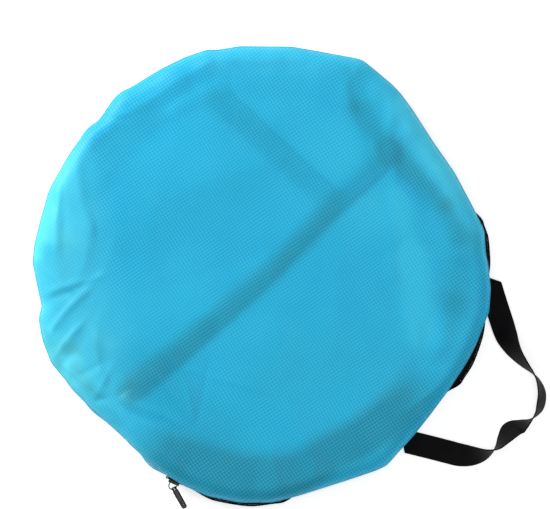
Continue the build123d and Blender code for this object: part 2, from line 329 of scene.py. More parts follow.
def painted_shade_map(finish, where):
    """Painted shade on the folded pack at a place: 0 plain, 1 darkest, below 0 painted light."""
    x, y, _ = finish.axes(where)
    wander = (finish.mottle(where, 8, 1.0) - 0.5) * (14 * MM)
    total = None
    for (ax, ay), (bx, by), half, depth in painted_light_and_shade:
        length = hypot(bx - ax, by - ay)
        ux, uy = (bx - ax) / length, (by - ay) / length
        s = x * ux + y * uy - MM * (ax * ux + ay * uy)
        past = (0 - s).high(s - length * MM).high(0.0)
        off = abs(x * uy - y * ux - MM * (ax * uy - ay * ux) + wander * 0.35)
        reach = off.math("POWER", 2.0) + past.math("POWER", 2.0)
        shade = reach.math("SQRT").fade(MM * half * 2.1, MM * half * 0.2) * depth
        total = shade if total is None else total + shade
    # The hoops' dark sleeves, painted as shade where they lie close under the cloth.
    r = (x.math("POWER", 2.0) + y.math("POWER", 2.0)).math("SQRT") + wander * 0.5
    angle = y.math("ARCTAN2", x) * (180 / pi)
    inwards = angle.fade(-58, -40) * (10 * MM)
    ring = (r + inwards).fade(180 * MM, 206 * MM) * (r + inwards * 1.5).fade(246 * MM, 224 * MM)
    ring = ring * angle.fade(-104, -88) * angle.fade(2, -24) * 1.35
    return total + ring


def canopy_finish(name, plain, deep, light):
    """Folded tent cloth, with painted shade where something lies under it and painted light towards the
    bag's edge.
    """
    finish = Finish(name, 0.6, Specular_IOR_Level=0.1)
    where = finish.place()
    shade = painted_shade_map(finish, where)
    patchy = finish.mottle(where, 7, 2.0)
    # Random paler patches, plus painted light where the shade map goes below 0 and towards the bag's edge;
    # deep is the painted shade colour, light the painted light colour.
    tone_and_painted_light = (patchy.fade(0.3, 0.7) * 0.25 - shade.low(0.0)).high(painted_rim_light(finish))
    body = finish.mix(tone_and_painted_light, plain, light)
    finish.set("Base Color", finish.mix(shade.high(0.0).low(1.0), body, deep))
    lines = [along(finish, where, turn + 8).to_line(grid_pitch) for turn in grid_turns]
    finish.bump(lines[0].low(lines[1]).fade(0.4 * MM, 0.1 * MM), 0.03 * MM, 0.2)
    return finish.material


sheer_cloth = ripstop("sheer_cyan_ripstop", cyan, (0.075, 0.65, 0.87), 0.46, "UV")
hem_cloth = plain_weave(
    "cyan_hem", (0.02, 0.46, 0.72), 0.5 * MM, light=(0.10, 0.60, 0.84), roughness=0.6
)
# The folded canopy's darkest colour is painted shade and its palest is painted light.
canopy_cloth = canopy_finish(
    "folded_canopy_cloth", (0.006, 0.50, 0.78), (0.002, 0.045, 0.08), (0.06, 0.80, 0.97)
)
wall_cloth = ripstop("folded_wall_cloth", cyan_deep, cyan, 0.99, "Object")
floor_cloth = plain_weave(
    "grey_floor_cloth", (0.05, 0.065, 0.08), 0.8 * MM, "Object", (0.10, 0.12, 0.14), 0.6
)
mesh_cloth = plain_weave(
    "black_insect_mesh", black_cloth, 1.2 * MM, "Object", (0.05, 0.05, 0.055), 0.7
)
tape_cloth = plain_weave(
    "black_zip_tape", (0.002, 0.002, 0.003), 0.5 * MM, light=(0.007, 0.007, 0.008)
)
binding_cloth = plain_weave("black_binding", black_cloth, 0.7 * MM, light=(0.016, 0.016, 0.018))
sleeve_cloth = plain_weave(
    "navy_sleeve_cloth", (0.004, 0.03, 0.05), 0.8 * MM, light=(0.02, 0.08, 0.12)
)
# The elastic band and the strips carry the same painted shade and painted light as the canopy they lie on.
elastic_cloth = canopy_finish(
    "elastic_painted_shade", (0.004, 0.42, 0.70), (0.002, 0.035, 0.065), (0.02, 0.60, 0.90)
)
strip_cloth = canopy_finish(
    "strip_binding", (0.004, 0.46, 0.76), (0.002, 0.04, 0.07), (0.02, 0.62, 0.94)
)
pouch_cloth = ripstop("pouch_cloth", (0.01, 0.16, 0.32), (0.04, 0.3, 0.5), 0.99, "Object")
black_webbing = webbing_finish()
black_enamel = enamel()
nylon_coil = coil_finish()
spring_steel = wire_finish("spring_steel", (0.42, 0.42, 0.44))
ferrule_metal = wire_finish("crimped_aluminium", (0.75, 0.75, 0.77))
peg_steel = wire_finish("galvanised_wire", (0.6, 0.61, 0.63), 0.4)


# ---------------------------------------------------------------- the bag's own shape
def smooth(t):
    t = min(max(t, 0.0), 1.0)
    return t * t * (3 - 2 * t)


# Corners of the front panel's edge: angle round the bag, radius in mm. Runs between
# them are nearly straight. Where a low one stands by a higher one, the seam is nicked.
edge_corners = [
    (-175, 246.5), (-167, 245.5), (-161, 247.0), (-156.5, 247.2), (-147, 240.0), (-146, 238.5),
    (-142.5, 245.0), (-137, 246.2), (-131, 245.5), (-128, 241.5), (-124.5, 238.5), (-117, 233.5),
    (-107, 228.5), (-101, 230.0), (-95, 233.5), (-90, 236.5), (-84.5, 239.5), (-78, 242.0),
    (-70, 242.5), (-62, 241.0), (-55, 236.5), (-42, 234.0), (-34, 238.0), (-31, 239.2),
    (-27, 235.0), (-20, 231.0), (-13.5, 228.8), (-6, 229.0), (3, 232.4), (8, 234.8), (12.5, 236.4),
    (17, 240.0), (23, 239.0), (28.3, 236.6), (32.5, 234.3), (38, 236.5), (45, 231.0), (55, 227.8),
    (65, 226.8), (75, 234.5), (80, 240.0), (83, 242.5), (89, 247.0), (92, 250.0), (94, 248.8),
    (103.5, 243.5), (110, 243.5), (123, 244.0), (129, 244.0), (130.8, 246.8), (137, 246.0),
    (143.5, 244.8), (152, 244.5), (154.8, 247.2), (157.2, 246.6), (162, 242.0), (163.2, 240.8),
    (167, 244.6), (175.5, 244.2),
]


def edge_run(angle):
    """The radius of the chord between the two corners on either side of an angle."""
    angle = (angle + 180) % 360 - 180
    before = max((k for k in range(len(edge_corners)) if edge_corners[k][0] <= angle), default=-1)
    (a, near), (b, far) = edge_corners[before], edge_corners[(before + 1) % len(edge_corners)]
    span = (b - a) % 360
    part = ((angle - a) % 360) / span
    a, turn, b = 0.0, radians(part * span), radians(span)
    return near * far * sin(b) / (near * sin(turn) + far * sin(b - turn)) * MM


def edge_radius(angle):
    """The front panel's silhouette, its corners a little rounded."""
    return sum(edge_run(angle + k * 0.7) for k in (-1, 0, 1)) / 3


# How the pack's rim is pressed in or bulged out: angle round the bag, share of the round.
rim_shape = [
    (-180, 1.0), (-125, 1.0), (-117, 0.985), (-107, 0.965), (-100, 0.975), (-93, 0.998), (-84, 1.0),
    (-76, 1.024), (-68, 1.026), (-60, 1.012), (-54, 0.975), (-44, 0.964), (-33, 0.974),
    (-20, 0.953), (-11, 0.944), (-7, 0.954), (-2, 0.990), (4, 1.0), (10, 1.0), (18, 0.990),
    (24, 0.986), (31, 0.997), (36, 1.0), (40, 0.992), (45, 0.958), (55, 0.938), (65, 0.934),
    (75, 0.963), (80, 0.988), (84, 1.0), (180, 1.0),
]


unpressed_radius = 90 * MM


def pressed_share(angle):
    angle = (angle + 180) % 360 - 180
    k = max(i for i in range(len(rim_shape) - 1) if rim_shape[i][0] <= angle)
    (a, low), (b, high) = rim_shape[k], rim_shape[k + 1]
    return low + (high - low) * smooth((angle - a) / (b - a))


def pressed(x, y):
    """Where a place goes when the pack takes the shape of its pressed rim."""
    r = hypot(x, y)
    if r < unpressed_radius:
        return x, y
    part = smooth((r - unpressed_radius) / (0.225 - unpressed_radius))
    k = 1 + (pressed_share(degrees(atan2(y, x))) - 1) * part
    return x * k, y * k


def polar(r, angle):
    return r * cos(radians(angle)), r * sin(radians(angle))


def ripple(x, y, scale, seed):
    return noise.noise(Vector((x * scale, y * scale, seed)))


# Folds of the front panel: from, to, half width and height in mm. A hollow is negative.
panel_folds = [
    ((29, 241), (47, 199), 9, 1.2), ((47, 199), (73, 160), 10, 1.1),
    ((73, 160), (116, 66), 12, 1.0), ((116, 66), (187, 0), 12, 1.4),
    ((118, 154), (151, 122), 14, -0.7), ((151, 122), (177, 54), 16, -0.9),
    ((177, 54), (187, 0), 14, -0.9), ((187, 0), (196, -50), 12, -0.8),
    ((160, 126), (192, 132), 7, 0.8), ((163, 103), (194, 129), 9, 0.8),
    ((186, 100), (222, 92), 9, -0.7), ((201, -56), (229, 0), 6, 1.3),
    ((-10, 249), (-12, 229), 6, 1.3), ((-12, 229), (5, 206), 6, -1.7),
    ((5, 206), (37, 169), 8, -1.6), ((-2, 240), (-70, 226), 7, 1.3),
    ((-217, 43), (-134, 175), 9, -1.8), ((-134, 175), (-60, 222), 9, -1.2),
    ((-228, 56), (-150, 182), 7, 1.7), ((-161, 186), (-137, 174), 4, -2.2),
    ((-137, 174), (-116, 158), 5, -1.5), ((-157, 195), (-126, 183), 5, 1.8),
    ((-231, 71), (-210, 80), 4, -2.0), ((-224, 95), (-206, 92), 4, -1.6),
    ((-228, -25), (-203, -69), 7, -1.6), ((-237, -18), (-214, -66), 6, 2.5),
    ((-218, 18), (-176, -35), 8, -2.2), ((-176, -35), (-165, -71), 8, -2.0),
    ((-228, 10), (-187, -38), 8, 1.8), ((-187, -38), (-177, -76), 8, 1.6),
    ((-238, -82), (-202, -103), 4, -1.6), ((-226, -96), (-183, -104), 4, 2.4),
    ((-199, -133), (-169, -97), 4, -2.6), ((-196, -120), (-164, -84), 5, 2.8),
    ((-178, -150), (-165, -104), 5, 3.2), ((-152, -184), (-144, -153), 4, -2.8),
    ((-144, -153), (-144, -120), 6, -1.6), ((-163, -178), (-153, -144), 4, 3.2),
    ((-138, -184), (-106, -190), 4, 3.2), ((-138, -196), (-118, -170), 4, -1.8),
    ((-112, -212), (-84, -182), 4, -2.6), ((-104, -208), (-101, -170), 4, 2.0),
    ((-112, -156), (-84, -184), 6, -1.5), ((-103, -146), (-76, -172), 6, 1.5),
    ((-128, -140), (-112, -168), 6, 1.6), ((-23, -126), (34, -114), 2.2, 0.9),
    ((-73, -193), (-22, -191), 5, -1.5), ((-22, -191), (11, -214), 5, -1.3),
    ((-70, -183), (-20, -181), 6, 1.5), ((-38, -130), (2, -169), 4, 1.3),
    ((-9, -119), (2, -169), 6, -1.1), ((-52, -150), (-16, -166), 5, 1.1),
    ((150, -170), (96, -120), 10, 1.3), ((206, -124), (150, -96), 7, 1.4),
    ((120, -204), (92, -168), 7, 1.0), ((-30, 60), (60, -80), 22, 1.0),
    ((-120, 40), (-40, 120), 20, 1.0), ((-90, -60), (10, 40), 16, -0.9),
    ((60, 60), (100, -40), 18, 0.9), ((-150, 60), (-120, -60), 18, 0.9),
]


def fold_relief(x, y):
    total = 0.0
    for (ax, ay), (bx, by), half, height in panel_folds:
        ax, ay, bx, by = ax * MM, ay * MM, bx * MM, by * MM
        length = hypot(bx - ax, by - ay)
        ux, uy = (bx - ax) / length, (by - ay) / length
        s = (x - ax) * ux + (y - ay) * uy
        d = (x - ax) * uy - (y - ay) * ux + ripple(x, y, 22, half) * 4 * MM
        past = max(-s, s - length, 0.0)
        if abs(d) < half * 4 * MM and past < 0.05:
            crest = 1 / (1 + (d / (half * 0.62 * MM)) ** 2) - 0.035
            total += height * crest * exp(-((past / (13 * MM)) ** 2))
    return total * MM


band_turn = 68.1  # the elastic band's direction, in degrees from +X


def band_drift(s):
    """How far the band lies off its middle line, s metres along it."""
    return 8 * MM * smooth(s / 0.13 + 0.2)


def band_relief(x, y):
    across = y * cos(radians(band_turn)) - x * sin(radians(band_turn))
    across -= band_drift(x * cos(radians(band_turn)) + y * sin(radians(band_turn)))
    return 0.9 * MM * exp(-((across / (11 * MM)) ** 2))


flat_share, shoulder_width = 0.72, 17 * MM  # the rest of t turns down over the shoulder
hollow, hollow_limit = 0.5 * MM, 0.9 * MM  # past the first, hollows ease off to stay clear of the pack


@cache
def panel_place(t, angle):
    """A place on the front panel: t runs from 0 in the middle to 1 on its edge."""
    edge = edge_radius(angle)
    shoulder = edge - shoulder_width
    if t < flat_share:
        r, drop = shoulder * t / flat_share, 0.0
    else:
        turn = (t - flat_share) / (1 - flat_share) * pi / 2
        r = shoulder + (edge - shoulder) * sin(turn)
        drop = (crown_height - seam_height) * (1 - cos(turn))
    x, y = polar(r, angle)
    inner = smooth((edge - r) / (22 * MM))
    relief = fold_relief(x, y) + band_relief(x, y)
    relief += ripple(x, y, 13, 3.1) * 1.5 * MM + ripple(x, y, 34, 8.7) * 0.5 * MM
    relief -= 0.6 * MM * exp(-(((r - 0.188) / 0.012) ** 2))
    if relief < -hollow:
        relief = -hollow - hollow_limit * tanh((-hollow - relief) / hollow_limit)
    z = crown_height - drop + relief * (0.25 + 0.75 * inner)
    pucker = ripple(cos(radians(angle)) * 0.35, sin(radians(angle)) * 0.35, 34, 1.7)
    z += pucker * 1.6 * MM * smooth((r - 0.185) / 0.04) * (1 - smooth((r - edge + 3 * MM) / (3 * MM)))
    return x, y, z


# ---------------------------------------------------------------- making pieces
def only(obj):
    bpy.ops.object.select_all(action="DESELECT")
    obj.select_set(True)
    bpy.context.view_layer.objects.active = obj


def dress(obj, material, body, slot, *nodes):
    obj.data.materials.clear()
    obj.data.materials.append(material)
    if isinstance(body, str):
        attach(obj, body)
    else:
        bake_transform(obj)
    if nodes:
        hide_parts(*nodes)
    return obj


def surface(name, place, flat, columns, rows, wrap=(False, False)):
    """A grid of faces through place(u, v), with flat(u, v) as its cloth coordinates."""
    wide = columns if wrap[0] else columns + 1
    tall = rows if wrap[1] else rows + 1
    points = [place(i / columns, j / rows) for j in range(tall) for i in range(wide)]
    faces, cloth = [], []
    for j in range(rows):
        for i in range(columns):
            corners = [(i, j), (i + 1, j), (i + 1, j + 1), (i, j + 1)]
            faces.append([(b % tall) * wide + a % wide for a, b in corners])
            cloth += [flat(a / columns, b / rows) for a, b in corners]
    mesh = bpy.data.meshes.new(name)
    mesh.from_pydata(points, [], faces)
    layer = mesh.uv_layers.new(name="cloth")
    for corner, pair in zip(layer.data, cloth):
        corner.uv = pair
    obj = bpy.data.objects.new(name, mesh)
    bpy.context.collection.objects.link(obj)
    mesh.shade_smooth()
    return obj


def tidy(obj):
    """Merges doubled points and turns the faces outwards."""
    only(obj)
    bpy.ops.object.mode_set(mode="EDIT")
    bpy.ops.mesh.select_all(action="SELECT")
    bpy.ops.mesh.remove_doubles(threshold=1e-6)
    bpy.ops.mesh.normals_make_consistent(inside=False)
    bpy.ops.object.mode_set(mode="OBJECT")
    return obj


def modify(obj, kind, **settings):
    only(obj)
    added = obj.modifiers.new(kind, kind)
    for key, value in settings.items():
        setattr(added, key, value)
    bpy.ops.object.modifier_apply(modifier=added.name)
    return obj


def thicken(obj, thickness):
    return modify(obj, "SOLIDIFY", thickness=thickness, offset=0.0)


def tube(name, route, radius, steps, sides, closed):
    """A round wire along route(t), t from 0 to 1."""
    count = steps if closed else steps + 1
    stations = [Vector(route(k / steps)) for k in range(count)]

    def place(u, v):
        k = round(v * steps) % count if closed else round(v * steps)
        back = stations[k - 1] if closed or k > 0 else stations[0]
        ahead = stations[(k + 1) % count] if closed or k < count - 1 else stations[-1]
        run = (ahead - back).normalized()
        side = run.cross(Vector((0, 0, 1)))
        side = side.normalized() if side.length > 1e-5 else Vector((1, 0, 0))
        up = side.cross(run)
        return stations[k] + (side * cos(2 * pi * u) + up * sin(2 * pi * u)) * radius

    obj = surface(name, place, lambda u, v: (u * 2 * pi * radius, v), sides, steps, (True, closed))
    if not closed:
        only(obj)
        bpy.ops.object.mode_set(mode="EDIT")
        bpy.ops.mesh.select_all(action="SELECT")
        bpy.ops.mesh.fill_holes(sides=sides)
        bpy.ops.object.mode_set(mode="OBJECT")
    return tidy(obj)


def belt(name, profile, start, end, steps, rows=8):
    """A sheet between start and end angles; profile(v, angle) gives radius and height."""

    def place(u, v):
        angle = start + (end - start) * u
        r, z = profile(v, angle)
        return (*pressed(*polar(r, angle)), z)

    def flat(u, v):
        return radians(end - start) * 0.24 * u, v * 0.03

    return surface(name, place, flat, steps, rows, (abs(end - start) > 359, False))


# ---------------------------------------------------------------- front panel
panel_rings, panel_spokes = 120, 480


def front_panel():
    def place(u, v):
        return panel_place(v, 360 * u)

    def flat(u, v):
        x, y, _ = panel_place(v, 360 * u)
        stray = 4 * MM * ripple(x, y, 9, 21.0), 4 * MM * ripple(x, y, 9, 33.0)
        return x + 0.5 + stray[0], y + 0.5 + stray[1]

    panel = tidy(surface("front_panel", place, flat, panel_spokes, panel_rings, (True, False)))
    folding = ("bag", "flap", (fold_line - 0.015, 0, 0), (fold_line + 0.015, 0, 0))
    dress(panel, sheer_cloth, folding, "bag_cloth", "top_panel_rear", "top_panel_flap")

    def hem_route(t):
        return panel_place(1.0, 360 * t)

    hem = tube("front_panel_hem", hem_route, 0.9 * MM, 360, 8, True)
    dress(hem, hem_cloth, folding, "bag_cloth")


def gusset_radius(v, angle):
    """The wall's bulge, from the bottom seam at v 0 to the front panel's edge at v 1."""
    ends = smooth((angle - zip_end) / 7) * smooth((360 - zip_end - angle) / 7)
    foot = tape_radius * (0.4 * pressed_share(angle) + 0.6) + 2 * MM * ends
    head = edge_radius(angle) - 0.6 * MM
    bulge = 1.6 * MM * sin(pi * v) * ends
    wave = ripple(cos(radians(angle)) * 0.24, sin(radians(angle)) * 0.24, 60, 4.4 + v * 0.6)
    return foot + (head - foot) * smooth(v) + bulge + wave * 1.3 * MM * sin(pi * v) * ends


def back_radius(angle):
    """The back panel's edge: at the gusset's foot, or at the tape along the zip."""
    return gusset_radius(0.0, angle) if zip_end < angle < 360 - zip_end else tape_radius


def gusset():
    def profile(v, angle):
        return gusset_radius(v, angle), floor_top + (seam_height - floor_top) * v

    wall = belt("gusset_wall", profile, zip_end, 360 - zip_end, 300, 12)
    dress(tidy(wall), sheer_cloth, "bag", "bag_cloth", "wall_panel")


def back_panel():
    def place(u, v):
        angle = 360 * u
        x, y = pressed(*polar(back_radius(angle) * v, angle))
        slack = smooth(v * 8) * (1 - smooth(v * 12 - 11))
        return x, y, 0.25 * MM + 0.25 * MM * (1 + ripple(x, y, 24, 6.2)) * slack

    def flat(u, v):
        x, y, _ = place(u, v)
        return x + 0.5, y + 0.5

    panel = tidy(surface("back_panel", place, flat, 240, 48, (True, False)))
    dress(panel, sheer_cloth, "bag", "bag_cloth", "bottom_panel")

    def hem_route(t):
        return (*pressed(*polar(back_radius(360 * t), 360 * t)), 0.9 * MM)

    hem = tube("back_panel_hem", hem_route, 0.7 * MM, 300, 8, True)
    dress(hem, hem_cloth, "bag", "bag_cloth")


# ---------------------------------------------------------------- zip
coil_pitch, coil_wire, coil_cord = 1.5 * MM, 0.36 * MM, 0.80 * MM
coil_seat = coil_radius - 0.2 * MM
zip_height = 13.0 * MM


def parting(angle):
    """How far the coils part towards the ends of the zip: 0 closed, 1 open."""
    return smooth((abs(angle) - flap_end + 3) / 2.5)


def coil_height(angle, side):
    """The middle of one coil: side is 1 for the upper one, -1 for the lower."""
    return zip_height + side * (0.85 + 1.1 * parting(angle)) * MM


def coil(name, start, end, side, body, *nodes):
    """One row of the zip: a coiled wire wound round a cord."""
    turns = round(radians(end - start) * coil_radius / coil_pitch)
    steps = 8

    def route(t):
        angle = start + (end - start) * t
        turn = 2 * pi * (turns * t + (0.25 if side > 0 else 0.75))
        r = coil_seat + 0.65 * MM * cos(turn)
        z = coil_height(angle, side) + 1.0 * MM * sin(turn)
        return (*pressed(*polar(r, angle)), z)

    def middle(t):
        angle = start + (end - start) * t
        return (*pressed(*polar(coil_seat, angle)), coil_height(angle, side))

    cord = tube(f"{name}_cord", middle, coil_cord, max(4, round((end - start) * 1.5)), 8, False)
    dress(cord, tape_cloth, body, "zip_tape")
    wire = tube(name, route, coil_wire, turns * steps, 4, False)
    return dress(wire, nylon_coil, body, "zip_coil", *nodes)


def tape(name, start, end, side, body, *nodes):
    """Zip tape from beside its coil to the panel it is sewn to."""

    def profile(v, angle):
        near = coil_height(angle, side) - side * 0.4 * MM
        foot = tape_radius - 0.2 * MM
        if side < 0:
            return foot, near + (0.5 * MM - near) * v
        head = min(edge_radius(angle) / pressed_share(angle), tape_radius + 1.5 * MM) - 0.9 * MM
        return foot + (head - foot) * smooth(v), near + (seam_height - 0.2 * MM - near) * v

    steps = max(8, round(abs(end - start) * 1.4))
    sheet = thicken(belt(name, profile, start, end, steps, 8), 0.5 * MM)
    dress(tidy(sheet), tape_cloth, body, "zip_tape", *nodes)


def zip_pieces():
    coil("coil_lower", -zip_end + 0.6, zip_end - 0.6, -1, "bag", "zip_coil_lower")
    coil("coil_upper", -flap_end, flap_end, 1, "flap", "zip_coil_upper")
    coil("coil_upper_end_left", fixed_start, zip_end - 0.6, 1, "bag", "zip_coil_upper_ends")
    coil("coil_upper_end_right", 0.6 - zip_end, -fixed_start, 1, "bag")
    tape("tape_lower", -zip_end, zip_end, -1, "bag", "zip_tape_lower")
    tape("tape_upper", -flap_end, flap_end, 1, "flap", "zip_tape_upper")
    tape("tape_upper_end_left", fixed_start, zip_end, 1, "bag", "zip_tape_upper_ends")
    tape("tape_upper_end_right", -zip_end, -fixed_start, 1, "bag")


def bindings():
    """Bound seam allowances inside the bag."""

    def lower(v, angle):
        return 0.2325 + 0.006 * v, 3.3 * MM

    def upper(v, angle):
        head = min(edge_radius(angle) / pressed_share(angle), tape_radius) - 1.6 * MM
        return head - 0.006 * (1 - v), 20.6 * MM

    for name, profile, start, end, body, node in (
        ("bottom_binding", lower, 0, 360, "bag", "bottom_seam_binding"),
        ("top_binding_rear", upper, fixed_start, 360 - fixed_start, "bag", "top_seam_binding_rear"),
        ("top_binding_flap", upper, -flap_end, flap_end, "flap", "top_seam_binding_flap"),
    ):
        ring = thicken(belt(name, profile, start, end, 240, 2), 0.8 * MM)
        dress(tidy(ring), binding_cloth, body, "binding_cloth", node)


# ---------------------------------------------------------------- strap
# Stations of the webbing: x and y in mm, tilt, height of its underside in mm, and
# how far its cross-section is turned from square to its run.
strap_stations = [
    (213.5, 104.0, 0, 0.9, -38), (222.0, 95.5, 0, 0.9, -20), (231.5, 85.5, 2, 0.9, 0),
    (247.0, 69.5, 8, 0.8, 0), (259.0, 57.0, 25, 0.4, 0), (267.0, 50.0, 44, 0.3, 0),
    (276.5, 43.8, 60, 0.3, 0), (289.5, 38.0, 75, 0.3, 0), (302.0, 33.4, 90, 0.3, 0),
    (311.5, 27.8, 103, 0.3, 0), (320.4, 18.0, 114, 0.3, 0), (324.8, 6.0, 115, 0.3, 0),
    (325.0, -3.0, 105, 0.3, 0), (322.0, -12.5, 91, 0.3, 0), (316.6, -20.5, 68, 0.3, 14),
    (309.8, -29.5, 47, 0.3, 34), (305.8, -42.5, 64, 0.3, 14), (303.2, -55.0, 88, 0.3, 0),
    (296.0, -66.0, 118, 0.3, 0), (285.6, -73.8, 145, 0.3, 0), (272, -79.6, 170, 0.4, 0),
    (260.0, -82.4, 180, 0.6, 0), (244.0, -85.8, 180, 0.9, 0), (226.0, -89.8, 180, 0.9, 12),
    (210.0, -93.4, 180, 0.9, 25),
]


def through(values, t):
    """A smooth curve through evenly numbered values, at t from 0 to 1."""
    at = t * (len(values) - 1)
    k = min(int(at), len(values) - 2)
    f = at - k
    a, b, c, d = (values[min(max(k + n, 0), len(values) - 1)] for n in (-1, 0, 1, 2))
    return 0.5 * (2 * b + (c - a) * f + (2 * a - 5 * b + 4 * c - d) * f**2 + (3 * b - a - 3 * c + d) * f**3)


def strap():
    lists = list(zip(*strap_stations))
    half, rows = webbing_width / MM / 2, 190

    def station(v):
        return [through(values, v) for values in lists]

    def place(u, v):
        x, y, tilt, under, skew = station(v)
        bx, by = station(max(v - 0.004, 0))[:2]
        ax, ay = station(min(v + 0.004, 1))[:2]
        run = atan2(ay - by, ax - bx) + pi / 2 + radians(skew)
        t = radians(tilt)
        s = (u - 0.5) * 2 * half
        stretch = 1 / cos(radians(skew))
        flat_x, flat_y = cos(run) * cos(t) * s * stretch, sin(run) * cos(t) * s * stretch
        z = under + half * abs(sin(t)) + 0.8 * abs(cos(t)) + sin(t) * s
        return (x + flat_x) * MM, (y + flat_y) * MM, z * MM

    def flat(u, v):
        return u * webbing_width, v * 0.33

    webbing = thicken(surface("carrying_strap", place, flat, 10, rows), 1.4 * MM)
    modify(
        webbing, "BEVEL", width=0.35 * MM, segments=2, limit_method="ANGLE", angle_limit=radians(50)
    )
    swinging = ("bag", "strap", (0.240, 0, 0), (0.262, 0, 0))
    ends = "strap_end_upper", "strap_end_lower"
    dress(tidy(webbing), black_webbing, swinging, "webbing", *ends, "strap_loop")


# ---------------------------------------------------------------- the folded tent
# Each hoop's bundle of turns: radius and height of its middle.
bundles = {
    "front": (221.6 * MM, 24.6 * MM),
    "rear": (206.8 * MM, 24.6 * MM),
    "base_left": (221.6 * MM, 9.9 * MM),
    "base_right": (206.8 * MM, 9.9 * MM),
}
hoop_turns, hoop_join = 3, -15  # laps of the wire, and where its ends meet in degrees
hoop_wire, strand_offset, sleeve_radius = 1.5 * MM, 3.6 * MM, 6.75 * MM
ferrule_length, ferrule_radius = 22 * MM, 2.2 * MM


def strand_place(radius, height, angle):
    """A place on a hoop's wire, which shifts round its bundle a third of a turn each lap."""
    shift = radians(angle / hoop_turns)
    x, y = pressed(*polar(radius + strand_offset * cos(shift), angle))
    return x, y, height + strand_offset * sin(shift)


def hoops():
    for index, (name, (radius, height)) in enumerate(bundles.items()):

        def route(t, radius=radius, height=height):
            t = 0.0003 + 0.9994 * t
            return strand_place(radius, height, hoop_join + 360 * hoop_turns * t)

        wire = tube(f"hoop_wire_{name}", route, hoop_wire, 180 * hoop_turns, 8, False)
        dress(wire, spring_steel, "bag", "spring_steel", f"hoop_{name}")

        def skin(u, v, radius=radius, height=height, seed=index * 2.3):
            angle = 360 * u
            turn = 2 * pi * v
            ring = sleeve_radius + ripple(angle * 0.05, cos(turn) * 0.6, 6, seed) * 0.28 * MM
            x, y = pressed(*polar(radius + ring * cos(turn), angle))
            return x, y, height + ring * sin(turn)

        def flat(u, v):
            return u * 1.3, v * 0.045

        sleeve = surface(f"sleeve_{name}_cloth", skin, flat, 300, 18, (True, True))
        dress(tidy(sleeve), sleeve_cloth, "bag", "binding_cloth", f"sleeve_{name}")


def ferrules():
    """Crimped tubes that join each hoop wire's two ends."""
    for index, (name, (radius, height)) in enumerate(bundles.items()):

        def route(t, radius=radius, height=height):
            return strand_place(radius, height, hoop_join + (t - 0.5) * degrees(ferrule_length / radius))

        crimp = tube(f"ferrule_{name}", route, ferrule_radius, 10, 16, False)
        dress(crimp, ferrule_metal, "bag", "ferrule_metal", *(["hoop_ferrules"] if index == 0 else []))


pile_radius = 196 * MM


def folded_pile(name, low, high, plies, material, slot, node):
    """Plies of one sheet, lying on each other and joined along alternate half rims."""
    gap = (high - low) / plies
    rings, spokes, ruffle = 20, 120, 0.35
    points, faces = [], []

    def ply_place(k, ring, spoke):
        angle = 360 * spoke / spokes
        r = pile_radius * (ring / rings) * (1 - 0.012 * (k % 2))
        r += 0.6 * MM * ripple(angle * 0.02, k, 9, 2.0)
        x, y = polar(max(r, 0.0), angle)
        wave = ripple(x, y, 30, k * 3.3 + low * 900) * gap * ruffle
        return (*pressed(x, y), low + gap * (k + 0.5) + wave)

    for k in range(plies):
        base = len(points)
        points += [ply_place(k, ring, spoke) for ring in range(1, rings + 1) for spoke in range(spokes)]
        points.append(ply_place(k, 0, 0))
        middle = len(points) - 1
        for spoke in range(spokes):
            after = (spoke + 1) % spokes
            faces.append((middle, base + spoke, base + after))
            for ring in range(rings - 1):
                a, b = base + ring * spokes, base + (ring + 1) * spokes
                faces.append((a + spoke, b + spoke, b + after, a + after))
        if k:
            lower_rim = base - 1 - spokes
            upper_rim = base + (rings - 1) * spokes
            fold = len(points)
            for spoke in range(spokes):
                x, y = polar(pile_radius + gap * 0.5, 360 * spoke / spokes)
                points.append((*pressed(x, y), low + gap * k))
            first = 0 if k % 2 else spokes // 2
            for spoke in range(first, first + spokes // 2):
                a, b = spoke % spokes, (spoke + 1) % spokes
                faces.append((lower_rim + a, fold + a, fold + b, lower_rim + b))
                faces.append((fold + a, upper_rim + a, upper_rim + b, fold + b))
    mesh = bpy.data.meshes.new(name)
    mesh.from_pydata(points, [], faces)
    mesh.shade_smooth()
    pile = bpy.data.objects.new(name, mesh)
    bpy.context.collection.objects.link(pile)
    tidy(pile)
    only(pile)
    bpy.ops.object.mode_set(mode="EDIT")
    bpy.ops.mesh.select_all(action="SELECT")
    bpy.ops.mesh.delete_loose(use_verts=True, use_edges=True, use_faces=False)
    bpy.ops.object.mode_set(mode="OBJECT")
    dress(pile, material, "bag", slot, node)


cover_height, droop_start = 31.2 * MM, 221 * MM


def canopy_cover():
    """The canopy's top ply, drawn out over the sleeves and over the band's two ends."""

    def place(u, v):
        angle = 360 * u
        reach = edge_radius(angle) / pressed_share(angle) - 0.7 * MM
        r = reach * min(v / 0.9, 1)
        x, y = polar(r, angle)
        across = y * cos(radians(band_turn)) - x * sin(radians(band_turn))
        across = abs(across - band_drift(x * cos(radians(band_turn)) + y * sin(radians(band_turn))))
        over_band = smooth((r - 0.183) / 0.010) * (1 - smooth((across - 0.012) / 0.010))
        lift = smooth((r - 0.190) / 0.010) * 1.2 * MM
        droop = 7.8 * MM * (max(r - droop_start, 0) / (reach - droop_start)) ** 2
        droop += 7 * MM * max(v - 0.9, 0) / 0.1
        z = cover_height + lift - droop + over_band * 1.2 * MM + ripple(x, y, 26, 5.5) * 0.12 * MM
        return (*pressed(x, y), z)

    cover = surface("canopy_cover", place, lambda u, v: (u, v), 300, 80, (True, False))
    dress(tidy(cover), canopy_cloth, "bag", "tent_cloth")


